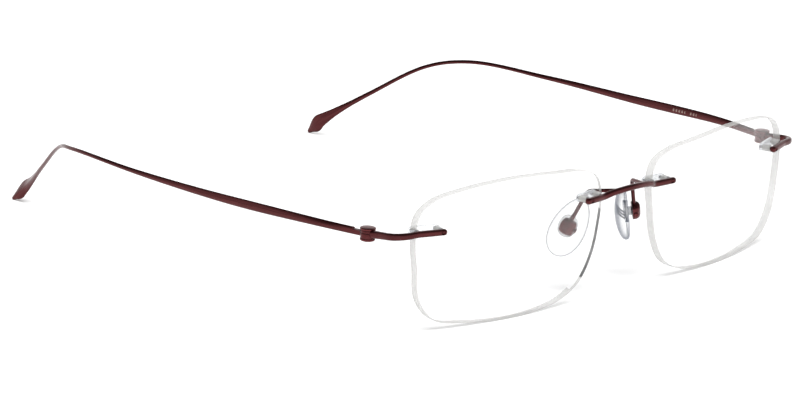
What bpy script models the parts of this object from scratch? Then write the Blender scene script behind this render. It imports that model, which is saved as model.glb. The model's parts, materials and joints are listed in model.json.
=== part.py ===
"""Rimless eyeglasses, open and standing on the lower lens edges and the temple tips.

The pieces are laid out in the wearer's frame: +X is the wearer's left, +Y runs back along the
temples and +Z is up.  A datum empty then leans the whole frame so that both lenses and both tips
touch the surface.  Dimensions are in millimetres and each mesh is scaled to metres when it is made.
"""
import math

import bmesh
import bpy
from mathutils import Matrix, Vector

MM = 0.001
UP = Vector((0, 0, 1))

# Driving sizes: the three numbers stamped on such a frame.
LENS_WIDTH = 54.0
LENS_GAP = 17.0
TEMPLE_LENGTH = 140.0

# Lenses: two spherical faces, ground flat at the edge.
LENS_HEIGHT = 32.1
LENS_RADIUS = 114.0
LENS_THICKNESS = 1.9
LENS_WRAP = math.radians(7.0)
LENS_RINGS = 6
LENS_POINTS = 68
# Outline of the left lens about its box centre, from the temporal side down and round.
LENS_OUTLINE = (
    (27.0, 6.0), (26.2, -2.0), (25.0, -8.8), (20.6, -13.7), (12.0, -15.3), (0.0, -16.0),
    (-9.0, -15.5), (-15.5, -14.3), (-21.0, -11.3), (-24.6, -5.5), (-26.3, 1.6), (-26.9, 8.0),
    (-25.3, 12.1), (-20.8, 14.3), (-12.0, 15.3), (0.0, 16.0), (9.0, 15.7), (16.0, 14.9),
    (22.2, 13.4), (26.0, 10.4),
)

# Fits.
SEAT_GAP = 0.05            # between two pieces that touch
RUNNING_GAP = 0.05         # radial, between a pin and its bore
GLUE_GAP = 0.03            # radial, between a post, its sleeve and the lens hole

# Metal bars that lie on the lens fronts.
BAR_RADIUS = 0.71
BAR_SQUARENESS = 2.6       # superellipse exponent of the section
TEMPORAL_MOUNT = dict(hole=20.9, notch=26.6, height=6.7, bar_end=20.4)
NASAL_MOUNT = dict(hole=-21.7, notch=-26.6, height=7.6, bar_end=-21.0)
POST_RADIUS = 0.4
POST_PAST_LENS = 0.95
SLEEVE_WALL = 0.32
SLEEVE_STANDOFF = 0.16     # back face of the lens edge to the plate
BARREL_INSET = 0.25        # front face of the lens to the barrels
SLEEVE_PLATE_RADIUS = 0.95
SLEEVE_PLATE_THICKNESS = 0.65

# Bridge: half of its centre line past the lens edge, the other half is mirrored.
BRIDGE_STEP = (6.6, -1.15, 8.15)
BRIDGE_CROWN = (0.0, -2.0, 8.8)
BRIDGE_MIDDLE_RADIUS = 0.66

# Hinge with a vertical pin: the endpiece has the upper knuckle and the temple the lower one.
HINGE = Vector((66.7, 16.05, 5.25))
ENDPIECE_CORNER = Vector((67.0, 6.9, 6.5))
ENDPIECE_CORNER_RADIUS = 3.9
ENDPIECE_ARM = (0.86, 0.86, 0.62)      # section beside the hinge: above, below, half thickness
KNUCKLE_RADIUS = 1.65
KNUCKLE_HALF_HEIGHT = 0.93             # the two knuckles together
KNUCKLE_BEVEL = 0.1
KNUCKLE_CLEARANCE = 0.2                # round the lower knuckle, under the arm of the endpiece
PIN_RADIUS = 0.6
PIN_HEAD_RADIUS = 1.75
PIN_HEAD_RIM = 0.32
PIN_HEAD_DOME = 0.24
NUT_RADIUS = 1.68
NUT_HEIGHT = 0.5
SHOULDER = 3.6                         # pin axis to where the temple bar has its full height

# Temple centre line of the left side; it is scaled so that TEMPLE_LENGTH runs from the hinge
# pin to the tip.
TEMPLE_ROUTE = (
    (66.9, 16.05, 5.3), (69.1, 30.5, 5.0), (69.9, 58.0, 3.7), (69.4, 84.0, 3.0), (66.5, 107.1, 2.2),
    (61.7, 116.5, -0.3), (55.2, 128.4, -8.7), (49.9, 138.8, -17.0), (49.9, 143.2, -20.9),
)
# Height above and below the centre line and half thickness, at fractions of the route.
TEMPLE_SECTIONS = (
    (0.000, 0.80, 0.80, 0.64), (0.100, 0.90, 0.90, 0.60), (0.200, 1.03, 1.03, 0.56),
    (0.260, 1.02, 1.02, 0.54), (0.340, 0.88, 0.88, 0.52), (0.430, 0.70, 0.70, 0.50),
    (0.530, 0.52, 0.52, 0.48), (0.620, 0.46, 0.46, 0.46), (0.780, 0.47, 0.47, 0.46),
    (0.900, 0.60, 0.60, 0.48), (0.930, 0.76, 0.74, 0.50), (0.948, 1.06, 0.96, 0.52),
    (0.965, 1.80, 1.50, 0.52), (0.976, 1.55, 1.80, 0.50), (0.986, 1.08, 1.52, 0.46),
    (0.994, 0.70, 0.90, 0.40), (1.000, 0.42, 0.60, 0.34),
)
LEAF_START = 0.88
BAR_STATIONS = 34
LEAF_STATIONS = 18

# Nose pads, left side: centre, long axis and splay.
PAD_CENTRE = Vector((9.2, 8.3, -1.5))
PAD_DOWN = Vector((5.6, 2.95, -12.9))
PAD_SPLAY = math.radians(37.0)
PAD_LENGTH = 14.2
PAD_WIDTH = 8.0
PAD_BACK = 0.9             # middle plane to the flat outer side
PAD_BULGE = 1.95           # middle plane to the crown of the nose side
PAD_TAPER = 0.15           # how much narrower the top is
CORE_LENGTH = 5.0
CORE_WIDTH = 4.2
CORE_DEPTH = 0.6
CORE_RECESS = 0.02         # outer face of the core below the back of the pad
BOSS = (1.5, 1.3)          # along the pad, across the pad
BOSS_CLEARANCE = 0.22      # end of the boss to the roof of the box cavity
BOX_GAP = 1.1              # pad back to the mouth of the box, so that the pad can rock
BOX_MOUTH = (3.7, 3.5)
BOX_ROOF = (2.9, 2.4)
BOX_HEIGHT = 1.85
BOX_CAVITY = (2.3, 1.7, 1.3)
BOX_POSITION = (0.1, -0.4)             # box centre from the pad centre: along and across the pad
PAD_SCREW_RADIUS = 0.36
PAD_SCREW_HEAD = 0.62
PAD_SCREW_HEIGHT = 0.75    # screw axis above the mouth of the box

# Wire arms that carry the boxes.
ARM_RADIUS = 0.45
ARM_START = Vector((4.7, -0.62, 8.35))
ARM_CORNER = Vector((7.45, 5.05, 7.4))
ARM_CORNER_RADIUS = 1.5

LACQUER = dict(color=(0.16, 0.045, 0.045, 1.0), roughness=0.32, metallic=0.85)
CLEAR = dict(color=(0.93, 0.95, 0.96, 0.25), roughness=0.05, metallic=0.0)
SILICONE = dict(color=(0.86, 0.89, 0.94, 0.5), roughness=0.25, metallic=0.0)


# ---------------------------------------------------------------- points and curves

def smooth_curve(anchors, count, closed=False):
    """Even points on a Catmull-Rom curve through the anchors, with chord-length spacing."""
    anchors = [Vector(a) for a in anchors]
    if closed:
        padded = [anchors[-1]] + anchors + anchors[:2]
    else:
        padded = [2 * anchors[0] - anchors[1]] + anchors + [2 * anchors[-1] - anchors[-2]]
    dense = []
    for p0, p1, p2, p3 in zip(padded, padded[1:], padded[2:], padded[3:]):
        for step in range(24):
            dense.append(catmull_point(p0, p1, p2, p3, step / 24))
    dense.append(padded[-2].copy())
    return even_points(dense, count + 1)[:-1] if closed else even_points(dense, count)


def catmull_point(p0, p1, p2, p3, t):
    """Point at t on the centripetal stretch from p1 to p2."""
    knots = [0.0]
    for a, b in ((p0, p1), (p1, p2), (p2, p3)):
        knots.append(knots[-1] + math.sqrt((b - a).length))
    k0, k1, k2, k3 = knots
    t = k1 + (k2 - k1) * t
    a1 = p0.lerp(p1, (t - k0) / (k1 - k0))
    a2 = p1.lerp(p2, (t - k1) / (k2 - k1))
    a3 = p2.lerp(p3, (t - k2) / (k3 - k2))
    b1 = a1.lerp(a2, (t - k0) / (k2 - k0))
    b2 = a2.lerp(a3, (t - k1) / (k3 - k1))
    return b1.lerp(b2, (t - k1) / (k2 - k1))


def lengths_along(points):
    total = [0.0]
    for a, b in zip(points, points[1:]):
        total.append(total[-1] + (b - a).length)
    return total


def point_at(points, lengths, distance):
    for index in range(1, len(points)):
        if distance <= lengths[index] or index == len(points) - 1:
            stretch = lengths[index] - lengths[index - 1]
            return points[index - 1].lerp(points[index], (distance - lengths[index - 1]) / stretch)


def even_points(points, count):
    lengths = lengths_along(points)
    return [point_at(points, lengths, lengths[-1] * k / (count - 1)) for k in range(count)]


def filleted(corner_points, radius, steps):
    """The route through the points, with each inner corner turned into an arc."""
    route = [corner_points[0].copy()]
    for before, corner, after in zip(corner_points, corner_points[1:], corner_points[2:]):
        inward = (before - corner).normalized()
        onward = (after - corner).normalized()
        half = inward.angle(onward) / 2
        centre = corner + (inward + onward).normalized() * (radius / math.sin(half))
        start = corner + inward * (radius / math.tan(half)) - centre
        end = corner + onward * (radius / math.tan(half)) - centre
        for step in range(steps + 1):
            route.append(centre + start.slerp(end, step / steps) * radius)
    route.append(corner_points[-1].copy())
    return route


def between(table, fraction):
    """Values at a fraction, eased between the rows of a table that starts with fractions."""
    for low, high in zip(table, table[1:]):
        if fraction <= high[0]:
            t = (fraction - low[0]) / (high[0] - low[0])
            t = t * t * (3 - 2 * t)
            return [a + (b - a) * t for a, b in zip(low[1:], high[1:])]
    return list(table[-1][1:])


def lens_point(u, v, depth):
    """Point of the left lens: u across, v up, depth behind the front face."""
    bow = (u * u + v * v) / (2 * LENS_RADIUS)
    place = Matrix.Rotation(LENS_WRAP, 3, "Z") @ Vector((u, bow + depth, v))
    return place + Vector(((LENS_WIDTH + LENS_GAP) / 2, 0, 0))


def mount_axes(mount):
    """Centre on the front face, unit vector towards the lens edge, and into the lens."""
    edge = lens_point(mount["notch"], mount["height"], 0)
    hole = lens_point(mount["hole"], mount["height"], 0)
    along = (edge - hole).normalized()
    inward = UP.cross(along)
    if inward.y < 0:
        inward = -inward
    return hole, edge, along, inward.normalized()


def lens_outline():
    """Evenly spaced points of the outline, scaled to the lens width and height."""
    points = smooth_curve([(u, v, 0) for u, v in LENS_OUTLINE], LENS_POINTS, closed=True)
    wide = max(p.x for p in points) - min(p.x for p in points)
    high = max(p.y for p in points) - min(p.y for p in points)
    return [(p.x * LENS_WIDTH / wide, p.y * LENS_HEIGHT / high) for p in points]


# ---------------------------------------------------------------- meshes

def ring_mesh(rings, capped=True):
    """Bridge each ring of points to the next and cap both ends, unless they are single points."""
    bm = bmesh.new()
    loops = [[bm.verts.new(p) for p in ring] for ring in rings]
    for first, second in zip(loops, loops[1:]):
        join_loops(bm, first, second)
    for loop in (loops[0], loops[-1]):
        if capped and len(loop) > 2:
            bm.faces.new(loop)
    bmesh.ops.recalc_face_normals(bm, faces=bm.faces)
    return facing_out(bm)


def facing_out(bm):
    """Turn every face of a closed mesh outwards; its faces already agree with each other."""
    bm.normal_update()
    if bm.calc_volume(signed=True) < 0:
        bmesh.ops.reverse_faces(bm, faces=bm.faces)
    return bm


def join_loops(bm, first, second):
    """Quads between two loops, or a fan where one of them is a single point."""
    for k in range(max(len(first), len(second))):
        corners = [first[k % len(first)], second[k % len(second)],
                   second[(k + 1) % len(second)], first[(k + 1) % len(first)]]
        unique = list(dict.fromkeys(corners))
        bm.faces.new(unique)


def section_ring(centre, up, across, sizes, sides, power):
    """Superellipse; sizes holds the height above and below the centre and the half width."""
    above, below, half_across = sizes
    ring = []
    for k in range(sides):
        angle = 2 * math.pi * (k + 0.5) / sides
        c, s = math.cos(angle), math.sin(angle)
        a = math.copysign(abs(c) ** (2 / power), c) * half_across
        b = math.copysign(abs(s) ** (2 / power), s) * (above if s > 0 else below)
        ring.append(centre + across * a + up * b)
    return ring


def sweep(points, sizes, up, sides=12, power=2.0):
    """Solid along a route; sizes holds the section sizes at each point."""
    rings = []
    for k, point in enumerate(points):
        ahead = points[min(k + 1, len(points) - 1)] - points[max(k - 1, 0)]
        tangent = ahead.normalized()
        up = (up - tangent * up.dot(tangent)).normalized()
        across = tangent.cross(up)
        rings.append(section_ring(point, up, across, sizes[k], sides, power))
    return ring_mesh(rings)


def rounded_ends(points, sizes, start=True, end=True):
    """Add short stations that round off the ends of a swept bar."""
    points, sizes = list(points), list(sizes)
    for at_start, wanted in ((True, start), (False, end)):
        if not wanted:
            continue
        if not at_start:
            points.reverse()
            sizes.reverse()
        tip, size = points[0], sizes[0]
        outward = (points[0] - points[1]).normalized()
        reach = min(size)
        for angle in (math.radians(35), math.radians(66)):
            shrink = math.cos(angle)
            points.insert(0, tip + outward * reach * math.sin(angle))
            sizes.insert(0, [part * shrink for part in size])
        if not at_start:
            points.reverse()
            sizes.reverse()
    return points, sizes


def turned(profile, centre, axis, sides=20, capped=True):
    """Round solid about an axis; profile holds (radius, distance along the axis)."""
    across = axis.orthogonal().normalized()
    other = axis.cross(across)
    rings = []
    for radius, along in profile:
        middle = centre + axis * along
        if radius == 0:
            rings.append([middle])
            continue
        rings.append([middle + across * radius * math.cos(2 * math.pi * k / sides)
                      + other * radius * math.sin(2 * math.pi * k / sides) for k in range(sides)])
    return ring_mesh(rings, capped)


def cylinder(start, end, radius, sides=16):
    axis = (end - start).normalized()
    return turned([(radius, 0), (radius, (end - start).length)], start, axis, sides)


def block(centre, axes, halves):
    """Box with the given half sizes along three axes."""
    bm = bmesh.new()
    bmesh.ops.create_cube(bm, size=2)
    for vert in bm.verts:
        x, y, z = vert.co
        vert.co = centre + axes[0] * x * halves[0] + axes[1] * y * halves[1] + axes[2] * z * halves[2]
    return facing_out(bm)


# ---------------------------------------------------------------- objects

def material(name, look):
    mat = bpy.data.materials.new(name)
    mat.use_nodes = True
    shader = mat.node_tree.nodes["Principled BSDF"]
    shader.inputs["Base Color"].default_value = look["color"]
    shader.inputs["Alpha"].default_value = look["color"][3]
    shader.inputs["Roughness"].default_value = look["roughness"]
    shader.inputs["Metallic"].default_value = look["metallic"]
    mat.diffuse_color = look["color"]
    return mat


def add_object(name, bm, side, origin=Vector((0, 0, 0))):
    """Make an object from a mesh in millimetres, mirrored for the right side."""
    flip = Matrix.Diagonal((side, 1, 1, 1))
    bmesh.ops.translate(bm, verts=bm.verts, vec=-origin)
    bmesh.ops.transform(bm, verts=bm.verts, matrix=Matrix.Scale(MM, 4) @ flip)
    if side < 0:
        bmesh.ops.reverse_faces(bm, faces=bm.faces)
    mesh = bpy.data.meshes.new(name)
    bm.to_mesh(mesh)
    bm.free()
    obj = bpy.data.objects.new(name, mesh)
    bpy.context.scene.collection.objects.link(obj)
    obj.parent = bpy.data.objects["frame_datum"]
    obj.location = flip @ origin * MM
    return obj


def add_piece(name, bm, side, look, origin=Vector((0, 0, 0))):
    obj = add_object(name, bm, side, origin)
    obj.data.materials.append(material(name, look))
    obj.data.shade_smooth()
    obj.data.set_sharp_from_angle(angle=math.radians(35))
    return obj


def combine(piece, name, bm, side, operation):
    """Join or cut a piece with a hidden guide shape."""
    guide = add_object(piece.name + "." + name, bm, side)
    guide.hide_render = True
    guide.display_type = "WIRE"
    change = piece.modifiers.new(name, "BOOLEAN")
    change.operation = operation
    change.object = guide


def side_name(base, side):
    return base + ("_left" if side > 0 else "_right")


# ---------------------------------------------------------------- lenses and their mounts

def lens_solid():
    """Shell between the two spherical faces, built of rings shrinking to the middle."""
    outline = lens_outline()
    rings = []
    for depth, scales in ((0.0, range(LENS_RINGS + 1)), (LENS_THICKNESS, range(LENS_RINGS, -1, -1))):
        for step in scales:
            share = step / LENS_RINGS
            if step == 0:
                rings.append([lens_point(0, 0, depth)])
            else:
                rings.append([lens_point(u * share, v * share, depth) for u, v in outline])
    return ring_mesh(rings)


def barrel_radius():
    return POST_RADIUS + GLUE_GAP + SLEEVE_WALL


def add_lens(side):
    lens = add_piece(side_name("lens", side), lens_solid(), side, CLEAR)
    for label, mount in (("temporal", TEMPORAL_MOUNT), ("nasal", NASAL_MOUNT)):
        hole, edge, _, inward = mount_axes(mount)
        for kind, spot in (("hole", hole), ("notch", edge)):
            drill = cylinder(spot - inward * 1.5, spot + inward * 4.0, barrel_radius() + GLUE_GAP)
            combine(lens, label + "_" + kind, drill, side, "DIFFERENCE")


def add_sleeve(side, label, mount):
    """Clear double sleeve: a plate behind the lens with a barrel round each post."""
    hole, edge, along, inward = mount_axes(mount)
    back = LENS_THICKNESS + SLEEVE_STANDOFF
    plate_ring = []
    for centre, start in ((edge, -90), (hole, 90)):
        for step in range(9):
            angle = math.radians(start + 180 * step / 8)
            plate_ring.append(centre + (along * math.cos(angle) + UP * math.sin(angle)) * SLEEVE_PLATE_RADIUS)
    rings = [[p + inward * depth for p in plate_ring] for depth in (back, back + SLEEVE_PLATE_THICKNESS)]
    sleeve = add_piece(side_name("sleeve_" + label, side), ring_mesh(rings), side, CLEAR)
    for name, spot in (("hole_barrel", hole), ("notch_barrel", edge)):
        barrel = cylinder(spot + inward * BARREL_INSET, spot + inward * (back + SLEEVE_PLATE_THICKNESS / 2),
                          barrel_radius())
        combine(sleeve, name, barrel, side, "UNION")
    for name, spot in (("hole_bore", hole), ("notch_bore", edge)):
        bore = cylinder(spot - inward, spot + inward * 5.0, POST_RADIUS + GLUE_GAP, 12)
        combine(sleeve, name, bore, side, "DIFFERENCE")


def posts(mount):
    """The two round posts of one mount, from inside the bar to behind the sleeve."""
    hole, edge, _, inward = mount_axes(mount)
    for name, spot in (("hole_post", hole), ("notch_post", edge)):
        yield name, cylinder(spot - inward * BAR_RADIUS,
                             spot + inward * (LENS_THICKNESS + POST_PAST_LENS), POST_RADIUS, 12)


def bar_centre(mount, u):
    """Centre of the bar where it lies on the front of the lens."""
    _, _, _, inward = mount_axes(mount)
    return lens_point(u, mount["height"], 0) - inward * (BAR_RADIUS + SEAT_GAP)


# ---------------------------------------------------------------- bridge

def bridge_route():
    """Centre line of the bridge from the right lens to the left one."""
    mount = NASAL_MOUNT
    half = [bar_centre(mount, mount["bar_end"]), bar_centre(mount, -23.8), bar_centre(mount, -27.0),
            Vector(BRIDGE_STEP)]
    mirrored = [Vector((-p.x, p.y, p.z)) for p in half]
    return smooth_curve(mirrored + [Vector(BRIDGE_CROWN)] + half[::-1], 33)


def add_bridge():
    route = bridge_route()
    sizes = []
    for point in route:
        share = min(1.0, abs(point.x) / (LENS_GAP / 2))
        radius = BRIDGE_MIDDLE_RADIUS + (BAR_RADIUS - BRIDGE_MIDDLE_RADIUS) * share ** 3
        sizes.append([radius] * 3)
    route, sizes = rounded_ends(route, sizes)
    bridge = add_piece("bridge_bar", sweep(route, sizes, UP, 12, BAR_SQUARENESS), 1, LACQUER)
    for side in (1, -1):
        for name, post in posts(NASAL_MOUNT):
            combine(bridge, side_name(name, side), post, side, "UNION")


# ---------------------------------------------------------------- hinge, endpiece and temple

def add_endpiece(side):
    """Bar on the lens, bent back round the corner to the upper knuckle of the hinge."""
    mount = TEMPORAL_MOUNT
    on_lens = [bar_centre(mount, u) for u in (mount["bar_end"], 23.0, 26.5)]
    arm_end = HINGE + (ENDPIECE_CORNER - HINGE).normalized() * (KNUCKLE_RADIUS * 0.6)
    corner = filleted([on_lens[-1], ENDPIECE_CORNER, arm_end], ENDPIECE_CORNER_RADIUS, 8)
    route = on_lens + corner[1:]
    lengths = lengths_along(route)
    bend_starts = lengths[3] / lengths[-1]
    sizes = []
    for distance in lengths:
        share = max(0.0, (distance / lengths[-1] - bend_starts) / (1 - bend_starts))
        sizes.append([BAR_RADIUS + (size - BAR_RADIUS) * share for size in ENDPIECE_ARM])
    route, sizes = rounded_ends(route, sizes, end=False)
    arm = sweep(route, sizes, UP, 12, BAR_SQUARENESS)
    piece = add_piece(side_name("endpiece", side), arm, side, LACQUER)
    combine(piece, "knuckle", knuckle(SEAT_GAP / 2, KNUCKLE_HALF_HEIGHT), side, "UNION")
    for name, post in posts(mount):
        combine(piece, name, post, side, "UNION")
    room = cylinder(HINGE - UP * 2, HINGE + UP * SEAT_GAP / 2, KNUCKLE_RADIUS + KNUCKLE_CLEARANCE, 24)
    combine(piece, "lower_knuckle_room", room, side, "DIFFERENCE")
    seat = cylinder(HINGE + UP * KNUCKLE_HALF_HEIGHT, HINGE + UP * 3, PIN_HEAD_RADIUS + SEAT_GAP * 2, 32)
    combine(piece, "screw_head_room", seat, side, "DIFFERENCE")
    combine(piece, "pin_bore", pin_bore(), side, "DIFFERENCE")


def knuckle(low, high):
    """Round end of a hinge half between two heights over the hinge centre."""
    rim = KNUCKLE_RADIUS - KNUCKLE_BEVEL
    profile = [(rim, low), (KNUCKLE_RADIUS, low + KNUCKLE_BEVEL), (KNUCKLE_RADIUS, high - KNUCKLE_BEVEL),
               (rim, high)]
    return turned(profile, HINGE, UP, 24)


def pin_bore():
    return cylinder(HINGE - UP * 2, HINGE + UP * 2, PIN_RADIUS + RUNNING_GAP)


def add_hinge_pin(side):
    """Screw with a domed head on the upper knuckle, and the round nut under the lower one."""
    seat = KNUCKLE_HALF_HEIGHT + SEAT_GAP
    rim = seat + PIN_HEAD_RIM
    head = PIN_HEAD_RADIUS
    screw = turned([(PIN_RADIUS, -seat - NUT_HEIGHT + 0.08), (PIN_RADIUS, seat), (head - 0.06, seat),
                    (head, seat + 0.08), (head, rim), (head * 0.86, rim + PIN_HEAD_DOME * 0.5),
                    (head * 0.5, rim + PIN_HEAD_DOME * 0.88), (0, rim + PIN_HEAD_DOME)], HINGE, UP, 24)
    add_piece(side_name("hinge_screw", side), screw, side, LACQUER)
    bore = PIN_RADIUS + RUNNING_GAP
    low = -seat - NUT_HEIGHT
    nut = turned([(bore, -seat), (NUT_RADIUS, -seat), (NUT_RADIUS, low + 0.14), (NUT_RADIUS - 0.16, low),
                  (bore, low), (bore, -seat)], HINGE, UP, 24, capped=False)
    bmesh.ops.remove_doubles(nut, verts=nut.verts, dist=1e-6)
    add_piece(side_name("hinge_nut", side), nut, side, LACQUER)


def temple_route():
    """Dense points from the pin axis to the tip, and the length up to each of them."""
    dense = smooth_curve(TEMPLE_ROUTE, 400)
    stretch = TEMPLE_LENGTH / lengths_along(dense)[-1]
    start = dense[0]
    scaled = [start + (p - start) * stretch for p in dense]
    return scaled, lengths_along(scaled)


def temple_stations(length):
    """Distances along the temple: even along the bar, closer together in the leaf-shaped tip."""
    start = KNUCKLE_RADIUS * 0.6
    leaf_start = LEAF_START * length
    bar = [start + (leaf_start - start) * k / BAR_STATIONS for k in range(BAR_STATIONS)]
    leaf = [leaf_start + (length - leaf_start) * k / LEAF_STATIONS for k in range(LEAF_STATIONS + 1)]
    return bar + leaf


def add_temple(side):
    """Slim bar with the lower knuckle at the front and a leaf-shaped end behind the ear."""
    dense, lengths = temple_route()
    length = lengths[-1]
    distances = temple_stations(length)
    route = [point_at(dense, lengths, d) for d in distances]
    sizes = [between(TEMPLE_SECTIONS, d / length) for d in distances]
    bar = sweep(route, sizes, UP, 12, BAR_SQUARENESS)
    piece = add_piece(side_name("temple", side), bar, side, LACQUER, HINGE)
    step = cylinder(HINGE - UP * SEAT_GAP / 2, HINGE + UP * 2, SHOULDER, 32)
    combine(piece, "step_over_lower_half", step, side, "DIFFERENCE")
    combine(piece, "knuckle", knuckle(-KNUCKLE_HALF_HEIGHT, -SEAT_GAP / 2), side, "UNION")
    combine(piece, "pin_bore", pin_bore(), side, "DIFFERENCE")


# ---------------------------------------------------------------- nose pads

def pad_axes():
    """Unit vectors of the left pad: up along it, across it, and out of it away from the nose."""
    along = -PAD_DOWN.normalized()
    nose = Vector((-math.cos(PAD_SPLAY), math.sin(PAD_SPLAY), 0))
    nose = (nose - along * nose.dot(along)).normalized()
    across = along.cross(nose).normalized()
    return along, across, -nose


def pad_outline(scale, lift, points=28):
    """Teardrop ring, narrower at the top; lift is along the outward axis."""
    along, across, out = pad_axes()
    ring = []
    for k in range(points):
        angle = 2 * math.pi * k / points
        length = PAD_LENGTH / 2 * math.sin(angle)
        width = PAD_WIDTH / 2 * math.cos(angle) * (1 - PAD_TAPER * math.sin(angle))
        ring.append(PAD_CENTRE + (along * length + across * width) * scale + out * lift)
    return ring


def core_centre():
    along, across, _ = pad_axes()
    return PAD_CENTRE + along * BOX_POSITION[0] + across * BOX_POSITION[1]


def box_mouth():
    _, _, out = pad_axes()
    return core_centre() + out * (PAD_BACK + BOX_GAP)


def pad_pivot():
    _, _, out = pad_axes()
    return box_mouth() + out * PAD_SCREW_HEIGHT


def add_nose_pad(side):
    """Soft pad with its moulded core, both rocking on the screw of the box."""
    along, across, out = pad_axes()
    rings = [[PAD_CENTRE + out * PAD_BACK], pad_outline(0.86, PAD_BACK), pad_outline(0.95, PAD_BACK - 0.2),
             pad_outline(1.0, 0.1), pad_outline(0.97, -0.3 * PAD_BULGE), pad_outline(0.86, -0.58 * PAD_BULGE),
             pad_outline(0.6, -0.84 * PAD_BULGE), pad_outline(0.3, -0.96 * PAD_BULGE),
             [PAD_CENTRE - out * PAD_BULGE]]
    pad = add_piece(side_name("nose_pad", side), ring_mesh(rings), side, SILICONE, pad_pivot())
    middle = core_centre()
    floor = PAD_BACK - CORE_DEPTH
    pocket = core_plate(middle, floor - SEAT_GAP, PAD_BACK + 0.5, SEAT_GAP)
    combine(pad, "core_pocket", pocket, side, "DIFFERENCE")
    plate = core_plate(middle, floor, PAD_BACK - CORE_RECESS)
    core = add_piece(side_name("pad_core", side), plate, side, CLEAR, pad_pivot())
    boss_top = PAD_BACK + BOX_GAP + BOX_CAVITY[2] - BOSS_CLEARANCE
    boss_foot = PAD_BACK - CORE_DEPTH / 2
    boss = block(middle + out * (boss_top + boss_foot) / 2, (along, across, out),
                 (BOSS[0] / 2, BOSS[1] / 2, (boss_top - boss_foot) / 2))
    combine(core, "boss", boss, side, "UNION")
    bore = cylinder(pad_pivot() - across * 3, pad_pivot() + across * 3, PAD_SCREW_RADIUS + RUNNING_GAP, 12)
    combine(core, "screw_bore", bore, side, "DIFFERENCE")


def core_plate(middle, low, high, grow=0.0):
    """Oval plate between two heights above the middle plane of the pad."""
    along, across, out = pad_axes()
    rings = []
    for height in (low, high):
        sizes = (CORE_LENGTH / 2 + grow, CORE_LENGTH / 2 + grow, CORE_WIDTH / 2 + grow)
        rings.append(section_ring(middle + out * height, along, across, sizes, 20, 2.4))
    return ring_mesh(rings)


def add_pad_box(side):
    """Small metal box, open towards the pad, with the screw through its side walls."""
    along, across, out = pad_axes()
    mouth = box_mouth()
    roof = mouth + out * BOX_HEIGHT
    rings = []
    for centre, size, shrink in ((mouth, BOX_MOUTH, 0.94), (mouth + out * 0.2, BOX_MOUTH, 1.0),
                                 (mouth + out * 0.9, BOX_MOUTH, 0.98), (roof - out * 0.25, BOX_ROOF, 1.12),
                                 (roof, BOX_ROOF, 0.8)):
        sizes = (size[0] / 2 * shrink, size[0] / 2 * shrink, size[1] / 2 * shrink)
        rings.append(section_ring(centre, along, across, sizes, 20, 3.4))
    box = add_piece(side_name("pad_box", side), ring_mesh(rings), side, LACQUER)
    cavity = block(mouth + out * (BOX_CAVITY[2] / 2 - 0.5), (along, across, out),
                   (BOX_CAVITY[0] / 2, BOX_CAVITY[1] / 2, BOX_CAVITY[2] / 2 + 0.5))
    combine(box, "cavity", cavity, side, "DIFFERENCE")
    pivot = pad_pivot()
    bore = cylinder(pivot - across * 3, pivot + across * 3, PAD_SCREW_RADIUS + RUNNING_GAP, 12)
    combine(box, "screw_bore", bore, side, "DIFFERENCE")
    reach = BOX_MOUTH[1] / 2
    screw = turned([(PAD_SCREW_RADIUS, -reach - 0.1), (PAD_SCREW_RADIUS, reach + SEAT_GAP),
                    (PAD_SCREW_HEAD, reach + SEAT_GAP), (PAD_SCREW_HEAD, reach + 0.2),
                    (PAD_SCREW_HEAD * 0.6, reach + 0.36), (0, reach + 0.4)], pivot, across, 12)
    add_piece(side_name("pad_screw", side), screw, side, LACQUER)


def add_pad_arm(side):
    """Bent wire from the back of the bridge to the upper side of the box."""
    along, _, out = pad_axes()
    foot = box_mouth() + out * (BOX_HEIGHT * 0.3) + along * (BOX_MOUTH[0] / 2 + 0.12)
    route = filleted([ARM_START, ARM_CORNER, foot], ARM_CORNER_RADIUS, 7)
    route = [route[0], route[0].lerp(route[1], 0.5)] + route[1:-1] + [route[-2].lerp(route[-1], 0.5), route[-1]]
    sizes = [[ARM_RADIUS] * 3] * len(route)
    add_piece(side_name("pad_arm", side), sweep(route, sizes, UP, 10), side, LACQUER)


# ---------------------------------------------------------------- stance

def all_points():
    """World points of every piece, with its modifiers."""
    bpy.context.view_layer.update()
    graph = bpy.context.evaluated_depsgraph_get()
    for obj in bpy.context.scene.objects:
        if obj.type != "MESH" or obj.hide_render:
            continue
        shaped = obj.evaluated_get(graph)
        for vert in shaped.data.vertices:
            yield shaped.matrix_world @ vert.co


def stand_on_surface(datum):
    """Lean the frame until lenses and tips touch z = 0, with the origin under the box centre."""
    points = list(all_points())
    lean = 0.0
    for _ in range(6):
        turn = Matrix.Rotation(lean, 3, "X")
        leaned = [turn @ p for p in points]
        lenses = min((p for p in leaned if p.y < 0.05), key=lambda p: p.z)
        tips = min((p for p in leaned if p.y > 0.1), key=lambda p: p.z)
        lean += math.atan2(lenses.z - tips.z, tips.y - lenses.y)
    turn = Matrix.Rotation(lean, 3, "X")
    leaned = [turn @ p for p in points]
    depth = [p.y for p in leaned]
    datum.rotation_euler = (lean, 0, 0)
    datum.location = (0, -(min(depth) + max(depth)) / 2, -min(p.z for p in leaned))


def main():
    for obj in list(bpy.data.objects):
        bpy.data.objects.remove(obj)
    datum = bpy.data.objects.new("frame_datum", None)
    bpy.context.scene.collection.objects.link(datum)
    add_bridge()
    for side in (1, -1):
        add_lens(side)
        add_sleeve(side, "temporal", TEMPORAL_MOUNT)
        add_sleeve(side, "nasal", NASAL_MOUNT)
        add_endpiece(side)
        add_hinge_pin(side)
        add_temple(side)
        add_pad_arm(side)
        add_pad_box(side)
        add_nose_pad(side)
    stand_on_surface(datum)


main()
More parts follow.
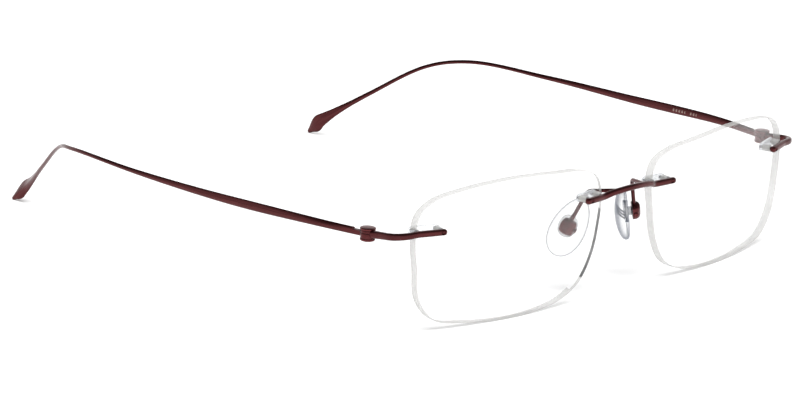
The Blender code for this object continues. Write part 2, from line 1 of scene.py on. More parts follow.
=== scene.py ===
"""Looks of the rimless eyeglasses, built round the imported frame.

Shapes are made in millimetres in the wearer's frame (+X the wearer's left, +Y back along the
temples, +Z up, +Y = 0 on the lens fronts), mirrored for the right side, and then put in the row
frame by the lean that the temple joint records.
"""
import json
import math

import bmesh
import bpy
from mathutils import Matrix, Vector


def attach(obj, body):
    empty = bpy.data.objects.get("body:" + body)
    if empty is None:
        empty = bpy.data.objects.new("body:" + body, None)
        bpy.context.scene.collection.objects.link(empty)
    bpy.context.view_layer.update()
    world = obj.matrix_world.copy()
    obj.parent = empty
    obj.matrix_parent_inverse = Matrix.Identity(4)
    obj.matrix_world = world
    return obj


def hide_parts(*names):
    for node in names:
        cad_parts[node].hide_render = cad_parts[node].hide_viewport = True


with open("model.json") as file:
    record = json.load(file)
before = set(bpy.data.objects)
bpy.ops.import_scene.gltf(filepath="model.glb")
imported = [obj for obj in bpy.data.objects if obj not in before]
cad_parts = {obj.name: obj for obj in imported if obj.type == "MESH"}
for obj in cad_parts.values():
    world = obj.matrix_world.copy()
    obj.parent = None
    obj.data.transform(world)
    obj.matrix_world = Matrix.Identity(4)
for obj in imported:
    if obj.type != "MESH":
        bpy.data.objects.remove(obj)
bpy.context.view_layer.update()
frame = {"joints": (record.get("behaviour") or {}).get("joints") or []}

MM = 0.001
UP = Vector((0, 0, 1))

# ---------------------------------------------------------------- sizes, as the frame has them

LENS_WIDTH = 54.0
LENS_GAP = 17.0
TEMPLE_LENGTH = 140.0
LENS_HEIGHT = 32.1
LENS_RADIUS = 114.0
LENS_THICKNESS = 1.9
LENS_WRAP = math.radians(7.0)
LENS_CHAMFER = 0.12
LENS_OUTLINE = (
    (27.0, 6.0), (26.2, -2.0), (25.0, -8.8), (20.6, -13.7), (12.0, -15.3), (0.0, -16.0),
    (-9.0, -15.5), (-15.5, -14.3), (-21.0, -11.3), (-24.6, -5.5), (-26.3, 1.6), (-26.9, 8.0),
    (-25.3, 12.1), (-20.8, 14.3), (-12.0, 15.3), (0.0, 16.0), (9.0, 15.7), (16.0, 14.9),
    (22.2, 13.4), (26.0, 10.4),
)
SEAT_GAP = 0.05
RUNNING_GAP = 0.05
GLUE_GAP = 0.03
BAR_RADIUS = 0.71
BAR_SQUARENESS = 2.6
# Places across the lens: its two holes, and the points that the bar passes from its free end on.
TEMPORAL_MOUNT = dict(hole=20.9, notch=26.6, height=6.7, stations=(20.4, 22.0, 23.6, 25.1, 26.5))
NASAL_MOUNT = dict(hole=-21.7, notch=-26.6, height=7.6, stations=(-21.0, -23.8, -27.0))
POST_RADIUS = 0.4
POST_PAST_LENS = 0.95
SLEEVE_WALL = 0.32
SLEEVE_STANDOFF = 0.16
BARREL_INSET = 0.25
SLEEVE_PLATE_RADIUS = 0.95
SLEEVE_PLATE_THICKNESS = 0.65
BRIDGE_STEP = (6.6, -1.15, 8.15)
BRIDGE_CROWN = (0.0, -2.0, 8.8)
BRIDGE_MIDDLE_RADIUS = 0.66
HINGE = Vector((66.7, 16.05, 5.25))
ENDPIECE_CORNER = Vector((67.0, 6.9, 6.5))
ENDPIECE_CORNER_RADIUS = 3.9
ENDPIECE_ARM = (0.86, 0.86, 0.62)
KNUCKLE_RADIUS = 1.65
KNUCKLE_HALF_HEIGHT = 0.93
KNUCKLE_CLEARANCE = 0.2
KNUCKLE_RIM = 0.1
PIN_RADIUS = 0.6
PIN_HEAD_RADIUS = 1.75
PIN_HEAD_RIM = 0.32
PIN_HEAD_DOME = 0.24
NUT_RADIUS = 1.68
NUT_HEIGHT = 0.5
TEMPLE_ROUTE = (
    (66.9, 16.05, 5.3), (69.1, 30.5, 5.0), (69.9, 58.0, 3.7), (69.4, 84.0, 3.0), (66.5, 107.1, 2.2),
    (61.7, 116.5, -0.3), (55.2, 128.4, -8.7), (49.9, 138.8, -17.0), (49.9, 143.2, -20.9),
)
TEMPLE_SECTIONS = (
    (0.000, 0.80, 0.80, 0.64), (0.100, 0.90, 0.90, 0.60), (0.200, 1.03, 1.03, 0.56),
    (0.260, 1.02, 1.02, 0.54), (0.340, 0.88, 0.88, 0.52), (0.430, 0.70, 0.70, 0.50),
    (0.530, 0.52, 0.52, 0.48), (0.620, 0.46, 0.46, 0.46), (0.780, 0.47, 0.47, 0.46),
    (0.890, 0.62, 0.62, 0.48), (0.930, 1.02, 0.94, 0.50), (0.948, 1.38, 1.22, 0.52),
    (0.965, 1.80, 1.50, 0.52), (0.976, 1.55, 1.80, 0.50), (0.986, 1.08, 1.52, 0.46),
    (0.994, 0.70, 0.90, 0.40), (1.000, 0.42, 0.60, 0.34),
)
PAD_CENTRE = Vector((9.2, 8.3, -1.5))
PAD_DOWN = Vector((5.6, 2.95, -12.9))
PAD_SPLAY = math.radians(37.0)
PAD_LENGTH = 14.2
PAD_WIDTH = 8.0
PAD_BACK = 0.9
PAD_BULGE = 1.95
PAD_TAPER = 0.15
CORE_LENGTH = 5.0
CORE_WIDTH = 4.2
CORE_DEPTH = 0.6
BOSS = (1.5, 1.3)
BOX_GAP = 1.1
BOX_MOUTH = (3.7, 3.5)
BOX_ROOF = (2.9, 2.4)
BOX_HEIGHT = 1.85
BOX_CAVITY = (2.3, 1.7, 1.3)
BOX_POSITION = (0.1, -0.4)
PAD_SCREW_RADIUS = 0.36
PAD_SCREW_HEAD = 0.62
PAD_SCREW_HEIGHT = 0.75
ARM_RADIUS = 0.45
ARM_START = Vector((4.7, -0.62, 8.35))
ARM_CORNER = Vector((7.45, 5.05, 7.4))
ARM_CORNER_RADIUS = 1.5

# ---------------------------------------------------------------- sizes of the visual detail

# Heights over HINGE of the joint between the hinge halves and of the notch in the temple.
HINGE_SPLIT = 0.3
NOTCH_FOOT = 0.42
SHOULDER = 3.6
# The endpiece widens towards the knuckle over the last part of its arm.
ARM_FLARE = 0.45
ARM_FLARE_START = 0.72
PIT_RADIUS = 0.52
PIT_DEPTH = 0.34
# Reach and strength of the painted dark reflection at the endpiece bend, and its place along the route.
BEND_REFLECTION_REACH = 3.2
BEND_REFLECTION_STRENGTH = 0.75
BEND_REFLECTION_PLACE = 0.47
# Section exponents of the temple's upper half and of its leaf; the leaf starts at a share of the length.
TEMPLE_RIDGE = 1.2
LEAF_RIDGE = 1.6
LEAF_START = 0.88
LEAF_TURN = 0.06
BAR_STEPS = 120
LEAF_STEPS = 60
# Flat part of the pad's back, as a share of its outline, and the rounding of its edge.
PAD_FLAT = 0.9
PAD_EDGE_ROUND = 0.6
PAD_RIM_LIFT = 0.15
# Curved ribs of the pad core: spacing, section, and (out of the pad, along the pad) through the curve.
RIB_PITCH = 0.9
RIB_SIZES = (0.17, 0.17, 0.3)
RIB_CURVE = ((-1.5, 1.9), (-1.1, 0.7), (-0.5, -0.3), (0.2, -1.1), (0.7, -1.5))
# Pad box from the mouth to the roof: height, section and scale; the ridge rises along its roof.
BOX_PROFILE = (
    (0.00, BOX_MOUTH, 0.94), (0.06, BOX_MOUTH, 0.98), (0.20, BOX_MOUTH, 1.00),
    (0.90, BOX_MOUTH, 0.98), (1.15, BOX_MOUTH, 0.94), (1.45, BOX_ROOF, 1.13),
    (1.60, BOX_ROOF, 1.00), (1.66, BOX_ROOF, 0.80), (1.68, BOX_ROOF, 0.50),
)
BOX_RIDGE = 0.34
BOX_RIDGE_REACH = 1.3
BOX_RIDGE_FOOT = 1.1
BOX_RIDGE_RISE = 0.4
# Stretch of plain ticks along the temple, and the gap in it, in millimetres from the hinge.
MARKS = (22.0, 29.6)
MARKS_GAP = (24.4, 25.6)
SOFT_EDGE = 0.04
# How far a cutter reaches past what it cuts.
CUT_PAST = 3.0
CAP_STEPS = 6
CAP_TURN = math.radians(84)


def datum():
    """Wearer's frame in millimetres to the row frame in metres, from the left temple joint."""
    joint = next(j for j in frame["joints"] if j["name"] == "temple_left_fold")
    lean = math.atan2(-joint["axis"][1], joint["axis"][2])
    turn = Matrix.Rotation(lean, 4, "X")
    shift = Vector(joint["pos_m"]) - turn @ (HINGE * MM)
    return Matrix.Translation(shift) @ turn @ Matrix.Scale(MM, 4)


DATUM = datum()


# ---------------------------------------------------------------- points and curves

def catmull_point(p0, p1, p2, p3, t):
    """Point at t on the centripetal stretch from p1 to p2."""
    knots = [0.0]
    for a, b in ((p0, p1), (p1, p2), (p2, p3)):
        knots.append(knots[-1] + math.sqrt((b - a).length))
    k0, k1, k2, k3 = knots
    t = k1 + (k2 - k1) * t
    a1 = p0.lerp(p1, (t - k0) / (k1 - k0))
    a2 = p1.lerp(p2, (t - k1) / (k2 - k1))
    a3 = p2.lerp(p3, (t - k2) / (k3 - k2))
    b1 = a1.lerp(a2, (t - k0) / (k2 - k0))
    b2 = a2.lerp(a3, (t - k1) / (k3 - k1))
    return b1.lerp(b2, (t - k1) / (k2 - k1))


def smooth_curve(anchors, count, closed=False):
    """Even points on a Catmull-Rom curve through the anchors."""
    anchors = [Vector(a) for a in anchors]
    if closed:
        padded = [anchors[-1]] + anchors + anchors[:2]
    else:
        padded = [2 * anchors[0] - anchors[1]] + anchors + [2 * anchors[-1] - anchors[-2]]
    dense = []
    for p0, p1, p2, p3 in zip(padded, padded[1:], padded[2:], padded[3:]):
        for step in range(24):
            dense.append(catmull_point(p0, p1, p2, p3, step / 24))
    dense.append(padded[-2].copy())
    return even_points(dense, count + 1)[:-1] if closed else even_points(dense, count)


def lengths_along(points):
    """Distance of each point along the route."""
    total = [0.0]
    for a, b in zip(points, points[1:]):
        total.append(total[-1] + (b - a).length)
    return total


def point_at(points, lengths, distance):
    """Point at a distance along the route."""
    for index in range(1, len(points)):
        if distance <= lengths[index] or index == len(points) - 1:
            stretch = lengths[index] - lengths[index - 1]
            return points[index - 1].lerp(points[index], (distance - lengths[index - 1]) / stretch)


def even_points(points, count):
    """The same route with evenly spaced points."""
    lengths = lengths_along(points)
    return [point_at(points, lengths, lengths[-1] * k / (count - 1)) for k in range(count)]


def filleted(corner_points, radius, steps):
    """The route through the points, with each inner corner turned into an arc."""
    route = [corner_points[0].copy()]
    for before, corner, after in zip(corner_points, corner_points[1:], corner_points[2:]):
        inward = (before - corner).normalized()
        onward = (after - corner).normalized()
        half = inward.angle(onward) / 2
        centre = corner + (inward + onward).normalized() * (radius / math.sin(half))
        start = corner + inward * (radius / math.tan(half)) - centre
        end = corner + onward * (radius / math.tan(half)) - centre
        for step in range(steps + 1):
            route.append(centre + start.slerp(end, step / steps) * radius)
    route.append(corner_points[-1].copy())
    return route


def between(table, fraction):
    """Values at a fraction, on a smooth curve through the rows of a table that starts with fractions."""
    rows = [table[0]] + list(table) + [table[-1]]
    for index in range(1, len(rows) - 2):
        before, low, high, after = rows[index - 1:index + 3]
        if fraction <= high[0] or index == len(rows) - 3:
            span = high[0] - low[0]
            t = min(1.0, (fraction - low[0]) / span)
            values = []
            for a, b, c, d in zip(before[1:], low[1:], high[1:], after[1:]):
                left = (c - a) / max(high[0] - before[0], span) * span
                right = (d - b) / max(after[0] - low[0], span) * span
                values.append((2 * t**3 - 3 * t**2 + 1) * b + (t**3 - 2 * t**2 + t) * left
                              + (3 * t**2 - 2 * t**3) * c + (t**3 - t**2) * right)
            return values
    return list(table[-1][1:])


def lens_point(u, v, depth):
    """Point of the left lens: u across, v up, depth behind the front face."""
    bow = (u * u + v * v) / (2 * LENS_RADIUS)
    place = Matrix.Rotation(LENS_WRAP, 3, "Z") @ Vector((u, bow + depth, v))
    return place + Vector(((LENS_WIDTH + LENS_GAP) / 2, 0, 0))


def mount_axes(mount):
    """Hole, notch, unit vector towards the lens edge, and unit vector into the lens."""
    edge = lens_point(mount["notch"], mount["height"], 0)
    hole = lens_point(mount["hole"], mount["height"], 0)
    along = (edge - hole).normalized()
    inward = UP.cross(along)
    if inward.y < 0:
        inward = -inward
    return hole, edge, along, inward.normalized()


# ---------------------------------------------------------------- meshes

def skin(bm, rings):
    """Faces between neighbouring rings of points; a ring of one point is a tip.

    Returns the rings of vertices, and each face with the numbers of its band and its place.
    """
    loops = [[bm.verts.new(p) for p in ring] for ring in rings]
    faces = []
    for band, (first, second) in enumerate(zip(loops, loops[1:])):
        for k in range(max(len(first), len(second))):
            corners = [first[k % len(first)], second[k % len(second)],
                       second[(k + 1) % len(second)], first[(k + 1) % len(first)]]
            faces.append((bm.faces.new(list(dict.fromkeys(corners))), band, k))
    return loops, faces


def turn_outward(bm):
    """Make the faces of a closed shape look outward."""
    bmesh.ops.recalc_face_normals(bm, faces=bm.faces)
    bm.normal_update()
    if bm.calc_volume(signed=True) < 0:
        bmesh.ops.reverse_faces(bm, faces=bm.faces)


def ring_mesh(rings, capped=True):
    """Closed or open shape over rings of points."""
    bm = bmesh.new()
    loops, _ = skin(bm, rings)
    for loop in (loops[0], loops[-1]):
        if capped and len(loop) > 2:
            bm.faces.new(loop)
    turn_outward(bm)
    return bm


def section_ring(centre, up, across, sizes, sides, power):
    """Superellipse; sizes holds the height above and below the centre and the half width.

    power is the exponent, or one exponent above the centre and one below it.
    """
    above, below, half_across = sizes
    powers = power if isinstance(power, tuple) else (power, power)
    ring = []
    for k in range(sides):
        angle = 2 * math.pi * (k + 0.5) / sides
        c, s = math.cos(angle), math.sin(angle)
        here = 2 / powers[0 if s > 0 else 1]
        a = math.copysign(abs(c) ** here, c) * half_across
        b = math.copysign(abs(s) ** here, s) * (above if s > 0 else below)
        ring.append(centre + across * a + up * b)
    return ring


def sweep(points, sizes, up, sides=32, power=2.0):
    """Solid along a route; sizes holds the section sizes at each point, power may too."""
    rings = []
    for k, point in enumerate(points):
        tangent = (points[min(k + 1, len(points) - 1)] - points[max(k - 1, 0)]).normalized()
        up = (up - tangent * up.dot(tangent)).normalized()
        here = power[k] if isinstance(power, list) else power
        rings.append(section_ring(point, up, tangent.cross(up), sizes[k], sides, here))
    return ring_mesh(rings)


def rounded_ends(points, sizes, both=True):
    """Add stations that round off the start of a swept bar, or both its ends."""
    points, sizes = list(points), list(sizes)
    for _ in range(2 if both else 1):
        tip, size = points[0], sizes[0]
        outward = (points[0] - points[1]).normalized()
        reach = min(size)
        for step in range(1, CAP_STEPS + 1):
            angle = CAP_TURN * step / CAP_STEPS
            points.insert(0, tip + outward * reach * math.sin(angle))
            sizes.insert(0, [part * math.cos(angle) for part in size])
        if both:
            points.reverse()
            sizes.reverse()
    return points, sizes


def turned(profile, centre, axis, sides=48, capped=True):
    """Round solid about an axis; profile holds (radius, distance along the axis)."""
    across = axis.orthogonal().normalized()
    other = axis.cross(across)
    rings = []
    for radius, along in profile:
        middle = centre + axis * along
        if radius == 0:
            rings.append([middle])
            continue
        rings.append([middle + across * radius * math.cos(2 * math.pi * k / sides)
                      + other * radius * math.sin(2 * math.pi * k / sides) for k in range(sides)])
    return ring_mesh(rings, capped)


def cylinder(start, end, radius, sides=40):
    axis = (end - start).normalized()
    return turned([(radius, 0), (radius, (end - start).length)], start, axis, sides)


def block(centre, axes, halves):
    """Box along three axes, with its half size along each."""
    bm = bmesh.new()
    bmesh.ops.create_cube(bm, size=2)
    for vert in bm.verts:
        x, y, z = vert.co
        vert.co = centre + axes[0] * x * halves[0] + axes[1] * y * halves[1] + axes[2] * z * halves[2]
    turn_outward(bm)
    return bm


def to_object(name, bm):
    mesh = bpy.data.meshes.new(name)
    bm.to_mesh(mesh)
    bm.free()
    obj = bpy.data.objects.new(name, mesh)
    bpy.context.scene.collection.objects.link(obj)
    return obj


def baked(obj):
    """Replace an object's mesh by what its modifiers make of it."""
    graph = bpy.context.evaluated_depsgraph_get()
    mesh = bpy.data.meshes.new_from_object(obj.evaluated_get(graph), depsgraph=graph)
    obj.modifiers.clear()
    obj.data = mesh


def combined(obj, shapes, operation, material_index=0):
    """Join shapes to an object, or cut them out of it; the new faces take the material index."""
    helpers = []
    for bm in shapes:
        for face in bm.faces:
            face.material_index = material_index
        helper = to_object("helper", bm)
        change = obj.modifiers.new("combine", "BOOLEAN")
        change.operation = operation
        change.solver = "EXACT"
        change.object = helper
        helpers.append(helper)
    bpy.context.view_layer.update()
    baked(obj)
    for helper in helpers:
        bpy.data.objects.remove(helper)


def softened(obj):
    """Round the sharp edges by a small bevel."""
    change = obj.modifiers.new("edges", "BEVEL")
    change.width = SOFT_EDGE
    change.segments = 2
    change.limit_method = "ANGLE"
    change.angle_limit = math.radians(40)
    change.use_clamp_overlap = True
    bpy.context.view_layer.update()
    baked(obj)


def side_name(base, side):
    return base + ("_left" if side > 0 else "_right")


def grain_along(obj, route, pits=(), bend=None):
    """Store for each point its distance along a route and its offset from it, in millimetres.

    The pit value darkens the lacquer with painted shade in the pits and a painted dark reflection round a
    bend.
    """
    lengths = lengths_along(route)
    grains, painted_darks = [], []
    for vert in obj.data.vertices:
        nearest = min(range(len(route)), key=lambda k: (route[k] - vert.co).length_squared)
        ahead = (route[min(nearest + 1, len(route) - 1)] - route[max(nearest - 1, 0)]).normalized()
        offset = vert.co - route[nearest]
        slip = offset.dot(ahead)
        across = ahead.cross(UP).normalized()
        up = across.cross(ahead)
        grains += [lengths[nearest] + slip, offset.dot(up), offset.dot(across)]
        # Painted shade in and round the riveted pits.
        reach = min([(vert.co - pit).length for pit in pits], default=math.inf)
        dark = max(0.0, min(1.0, (PIT_RADIUS * 1.3 - reach) / (PIT_RADIUS * 0.3)))
        # Painted dark reflection round the endpiece bend, added to the pit value.
        if bend is not None:
            away = min(1.0, (vert.co - bend).length / BEND_REFLECTION_REACH)
            dark = max(dark, BEND_REFLECTION_STRENGTH * (1 - away * away * (3 - 2 * away)))
        painted_darks.append(dark)
    obj.data.attributes.new("grain", "FLOAT_VECTOR", "POINT").data.foreach_set("vector", grains)
    obj.data.attributes.new("pit", "FLOAT", "POINT").data.foreach_set("value", painted_darks)


def grain_round(obj, centre, axis):
    """Store the turn round an axis, the radius and the height, for turned pieces."""
    across = axis.orthogonal().normalized()
    other = axis.cross(across)
    layer = obj.data.attributes.new("grain", "FLOAT_VECTOR", "POINT")
    for vert, cell in zip(obj.data.vertices, layer.data):
        offset = vert.co - centre
        height = offset.dot(axis)
        radius = (offset - axis * height).length
        turn = math.atan2(offset.dot(other), offset.dot(across))
        cell.vector = (math.cos(turn), radius * 2 + height, math.sin(turn))


def put(obj, name, side, body, replaced, materials, sharp=38):
    flip = Matrix.Diagonal((side, 1, 1, 1))
    obj.data.transform(DATUM @ flip)
    if side < 0:
        obj.data.flip_normals()
    obj.name = name
    obj.data.name = name
    for index, mat in enumerate(materials):
        if index < len(obj.data.materials):
            obj.data.materials[index] = mat
        else:
            obj.data.materials.append(mat)
    obj.data.shade_smooth()
    obj.data.set_sharp_from_angle(angle=math.radians(sharp))
    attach(obj, body)
    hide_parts(*replaced)


# ---------------------------------------------------------------- materials

class Nodes:
    """A material's node tree, with short calls to add and link nodes."""

    def __init__(self, name):
        self.material = bpy.data.materials.new(name)
        self.material.use_nodes = True
        self.tree = self.material.node_tree
        self.shader = self.tree.nodes["Principled BSDF"]

    def add(self, kind, **values):
        node = self.tree.nodes.new(kind)
        for key, value in values.items():
            if hasattr(node, key):
                setattr(node, key, value)
            else:
                node.inputs[key.replace("_", " ")].default_value = value
        return node

    def link(self, source, target, socket=None):
        """source is a node or its output; target is a node and socket names its input."""
        out = source.outputs[0] if hasattr(source, "outputs") else source
        self.tree.links.new(out, target.inputs[socket])

    def noise(self, coords, scale, stretch=(1, 1, 1), detail=3.0, rough=0.5):
        mapping = self.add("ShaderNodeMapping")
        mapping.inputs["Scale"].default_value = stretch
        self.link(coords, mapping, "Vector")
        noise = self.add("ShaderNodeTexNoise")
        noise.inputs["Scale"].default_value = scale
        noise.inputs["Detail"].default_value = detail
        noise.inputs["Roughness"].default_value = rough
        self.link(mapping, noise, "Vector")
        return noise.outputs["Fac"]

    def ramp(self, source, stops):
        ramp = self.add("ShaderNodeValToRGB")
        elements = ramp.color_ramp.elements
        while len(elements) < len(stops):
            elements.new(0.5)
        for element, (place, color) in zip(elements, stops):
            element.position = place
            element.color = tuple(color) + (1,) if len(color) == 3 else color
        self.link(source, ramp, "Fac")
        return ramp.outputs["Color"]

    def remap(self, source, low, high, to_low, to_high):
        node = self.add("ShaderNodeMapRange")
        for socket, value in (("From Min", low), ("From Max", high), ("To Min", to_low), ("To Max", to_high)):
            node.inputs[socket].default_value = value
        self.link(source, node, "Value")
        return node.outputs["Result"]

    def math(self, operation, a, b):
        node = self.add("ShaderNodeMath")
        node.operation = operation
        for index, value in enumerate((a, b)):
            if isinstance(value, (int, float)):
                node.inputs[index].default_value = value
            else:
                self.tree.links.new(value, node.inputs[index])
        return node.outputs[0]

    def mix(self, factor, a, b):
        """Colour between a and b; sockets 0, 6 and 7 are the factor and the two colours."""
        node = self.add("ShaderNodeMix")
        node.data_type = "RGBA"
        self.tree.links.new(factor, node.inputs[0])
        for index, value in ((6, a), (7, b)):
            if isinstance(value, (tuple, list)):
                node.inputs[index].default_value = tuple(value) + (1,)
            else:
                self.tree.links.new(value, node.inputs[index])
        return node.outputs[2]

    def bump(self, height, distance):
        """Relief of the surface, with its depth in metres."""
        node = self.add("ShaderNodeBump")
        node.inputs["Distance"].default_value = distance
        self.link(height, node, "Height")
        self.link(node, self.shader, "Normal")

    def feed(self, socket, value):
        """Link a node's output to a socket of the shader."""
        self.tree.links.new(value, self.shader.inputs[socket])

    def set(self, **values):
        """Set constants on the shader's own sockets."""
        for key, value in values.items():
            self.shader.inputs[key.replace("_", " ")].default_value = value


def lacquered_metal(name, depth, tint, marked=False):
    """Translucent brown lacquer over brushed metal; the grain runs along each piece."""
    n = Nodes(name)
    grain = n.add("ShaderNodeAttribute", attribute_name="grain").outputs["Vector"]
    pit = n.add("ShaderNodeAttribute", attribute_name="pit").outputs["Fac"]
    streaks = n.noise(grain, 1.0, (0.22, 7.0, 7.0), 5.0, 0.65)
    fine = n.noise(grain, 1.0, (1.2, 26.0, 26.0), 3.0, 0.6)
    cloud = n.noise(grain, 1.0, (0.12, 0.5, 0.5), 2.0, 0.5)
    colour = n.ramp(streaks, ((0.25, [c * depth * 0.60 for c in tint]), (0.52, [c * depth for c in tint]),
                              (0.80, [min(1.0, c * depth * 1.5 + 0.01) for c in tint])))
    colour = n.mix(n.remap(cloud, 0.3, 0.7, 0.0, 0.4), colour, [c * depth * 0.5 for c in tint])
    if marked:
        colour = pale_marks(n, grain, colour)
    # Painted shade in the pits and painted dark reflection at the endpiece bend, read from the pit value.
    colour = n.mix(n.math("MULTIPLY", pit, 0.85), colour, [c * 0.06 for c in tint])
    n.feed("Base Color", colour)
    n.feed("Roughness", n.remap(fine, 0.25, 0.75, 0.18, 0.30))
    n.bump(n.math("ADD", n.math("MULTIPLY", streaks, 0.6), n.math("MULTIPLY", fine, 0.4)), 0.00001)
    n.set(Metallic=0.94, Coat_Weight=0.08, Coat_Roughness=0.1, Coat_IOR=1.5)
    return n.material


def pale_marks(n, grain, colour):
    """A short row of plain pale ticks on the inner face of a temple, behind the hinge."""
    parts = n.add("ShaderNodeSeparateXYZ")
    n.tree.links.new(grain, parts.inputs[0])
    along, height, across = parts.outputs
    tick = n.math("LESS_THAN", n.math("FRACT", n.math("MULTIPLY", along, 1.1), 0), 0.5)
    row = n.math("MULTIPLY", n.math("GREATER_THAN", along, MARKS[0]), n.math("LESS_THAN", along, MARKS[1]))
    gap = n.math("ADD", n.math("LESS_THAN", along, MARKS_GAP[0]), n.math("GREATER_THAN", along, MARKS_GAP[1]))
    band = n.math("LESS_THAN", n.math("ABSOLUTE", height, 0), 0.30)
    inner = n.math("LESS_THAN", across, -0.2)
    mask = tick
    for part in (row, gap, band, inner):
        mask = n.math("MULTIPLY", mask, part)
    return n.mix(mask, colour, (0.27, 0.19, 0.17))


def polished_lens(name):
    """Clear polished plastic: almost nothing seen square on, more at a flat angle."""
    n = Nodes(name)
    place = n.add("ShaderNodeTexCoord").outputs["Object"]
    haze = n.noise(place, 90.0, detail=2.0, rough=0.5)
    n.feed("Base Color", n.mix(haze, (0.93, 0.935, 0.94), (0.97, 0.975, 0.98)))
    n.feed("Roughness", n.remap(haze, 0.3, 0.7, 0.02, 0.05))
    facing = n.add("ShaderNodeLayerWeight").outputs["Facing"]
    n.feed("Alpha", n.remap(facing, 0.2, 0.6, 0.0, 0.10))
    n.set(IOR=1.5)
    return n.material


def ground_edge(name, tint, alpha):
    """Finely ground edge of a lens: frosted, with the marks of the wheel round it."""
    n = Nodes(name)
    place = n.add("ShaderNodeTexCoord").outputs["Object"]
    grit = n.noise(place, 4200.0, detail=2.0, rough=0.6)
    cloud = n.noise(place, 220.0, detail=3.0, rough=0.6)
    shade = n.mix(n.remap(cloud, 0.3, 0.7, 0, 1), [c * 0.82 for c in tint], tint)
    n.feed("Base Color", shade)
    n.feed("Roughness", n.remap(grit, 0.3, 0.7, 0.30, 0.55))
    n.feed("Alpha", n.remap(cloud, 0.3, 0.7, alpha * 0.85, min(1.0, alpha * 1.1)))
    n.bump(grit, 0.00002)
    n.set(Specular_IOR_Level=0.3)
    return n.material


def moulded_clear(name, tint, roughness, thin, thick):
    """Clear moulded plastic or silicone; the alpha runs from thin, seen square on, to thick."""
    n = Nodes(name)
    place = n.add("ShaderNodeTexCoord").outputs["Object"]
    ripple = n.noise(place, 500.0, detail=2.0, rough=0.5)
    n.feed("Base Color", n.mix(ripple, [c * 0.9 for c in tint], tint))
    gloss = n.remap(ripple, 0.3, 0.7, roughness * 0.6, roughness * 1.3)
    n.feed("Roughness", gloss)
    facing = n.add("ShaderNodeLayerWeight").outputs["Facing"]
    n.feed("Alpha", n.remap(facing, 0.15, 0.75, thin, thick))
    n.bump(ripple, 0.00003)
    n.set(IOR=1.45)
    return n.material


BROWN = (1.0, 0.22, 0.23)
LACQUER_DEPTH = 0.092
LACQUER = lacquered_metal("brown_lacquer_look", LACQUER_DEPTH, BROWN)
LACQUER_MARKED = lacquered_metal("brown_lacquer_marked_look", LACQUER_DEPTH, BROWN, marked=True)
HARDWARE = lacquered_metal("brown_hardware_look", 0.13, BROWN)
LENS_FACE = polished_lens("lens_face_look")
LENS_EDGE = ground_edge("lens_edge_look", (0.46, 0.455, 0.44), 0.66)
# Painted dark reflection on part of the right lens's nasal edge.
LENS_EDGE_DARK_REFLECTION = ground_edge("lens_edge_dark_reflection_look", (0.045, 0.045, 0.045), 0.98)
SLEEVE = moulded_clear("sleeve_look", (0.66, 0.69, 0.72), 0.08, 0.16, 0.80)
SILICONE = moulded_clear("silicone_look", (0.17, 0.19, 0.24), 0.16, 0.04, 0.85)
CORE = moulded_clear("pad_core_look", (0.05, 0.055, 0.08), 0.12, 0.30, 0.90)


# ---------------------------------------------------------------- lenses and sleeves

LENS_POINTS = 240
LENS_RINGS = 10
# The nasal edge of the right lens carries a painted dark reflection of something dark at the front, between
# two heights and in front of DARK_DEPTH. Behind that depth its edge is clear, on the nasal side of
# CLEAR_SIDE.
DARK_DEPTH = 1.0
DARK_STRETCH = (-10.8, 4.6)
CLEAR_SIDE = -19.0
FACE, GROUND, DARK = range(3)


def lens_mesh(mirroring):
    """Two spherical faces and a ground edge with a small chamfer on both sides.

    mirroring gives the nasal edge its painted dark reflection and its clear rear part.
    """
    outline = smooth_curve([(u, v, 0) for u, v in LENS_OUTLINE], LENS_POINTS, closed=True)
    wide = max(p.x for p in outline) - min(p.x for p in outline)
    high = max(p.y for p in outline) - min(p.y for p in outline)
    outline = [(p.x * LENS_WIDTH / wide, p.y * LENS_HEIGHT / high) for p in outline]
    shrink = 1 - LENS_CHAMFER / (LENS_HEIGHT / 2)

    def ring(scale, depth):
        if scale == 0:
            return [lens_point(0, 0, depth)]
        return [lens_point(u * scale, v * scale, depth) for u, v in outline]

    front = [ring(shrink * k / LENS_RINGS, 0) for k in range(LENS_RINGS + 1)]
    back = [ring(shrink * k / LENS_RINGS, LENS_THICKNESS) for k in range(LENS_RINGS + 1)]
    edge = [ring(1, LENS_CHAMFER), ring(1, DARK_DEPTH), ring(1, LENS_THICKNESS - LENS_CHAMFER)]
    bm = bmesh.new()
    _, faces = skin(bm, front + edge + back[::-1])
    first_ground = len(front) - 1
    for face, band, k in faces:
        u, v = outline[k]
        ground = first_ground <= band < first_ground + len(edge) + 1
        shallow = band <= first_ground + 1
        face.material_index = GROUND if ground else FACE
        # Painted dark reflection on this stretch of the nasal edge.
        if mirroring and ground and shallow and u < 0 and DARK_STRETCH[0] < v < DARK_STRETCH[1]:
            face.material_index = DARK
        if mirroring and not shallow and u < CLEAR_SIDE:
            face.material_index = FACE
    turn_outward(bm)
    return to_object("lens", bm)


def barrel_radius():
    """Outer radius of a sleeve's barrel."""
    return POST_RADIUS + GLUE_GAP + SLEEVE_WALL


def make_lens(side):
    looks = (LENS_FACE, LENS_EDGE, LENS_EDGE_DARK_REFLECTION)
    lens = lens_mesh(mirroring=side < 0)
    for mat in looks:
        lens.data.materials.append(mat)
    drills = []
    radius = barrel_radius() + GLUE_GAP
    for mount in (TEMPORAL_MOUNT, NASAL_MOUNT):
        hole, edge, _, inward = mount_axes(mount)
        for spot in (hole, edge):
            drills.append(cylinder(spot - inward * CUT_PAST, spot + inward * CUT_PAST, radius))
    combined(lens, drills, "DIFFERENCE", GROUND)
    name = side_name("lens", side)
    put(lens, name + "_fine", side, "front", [name], looks, 30)


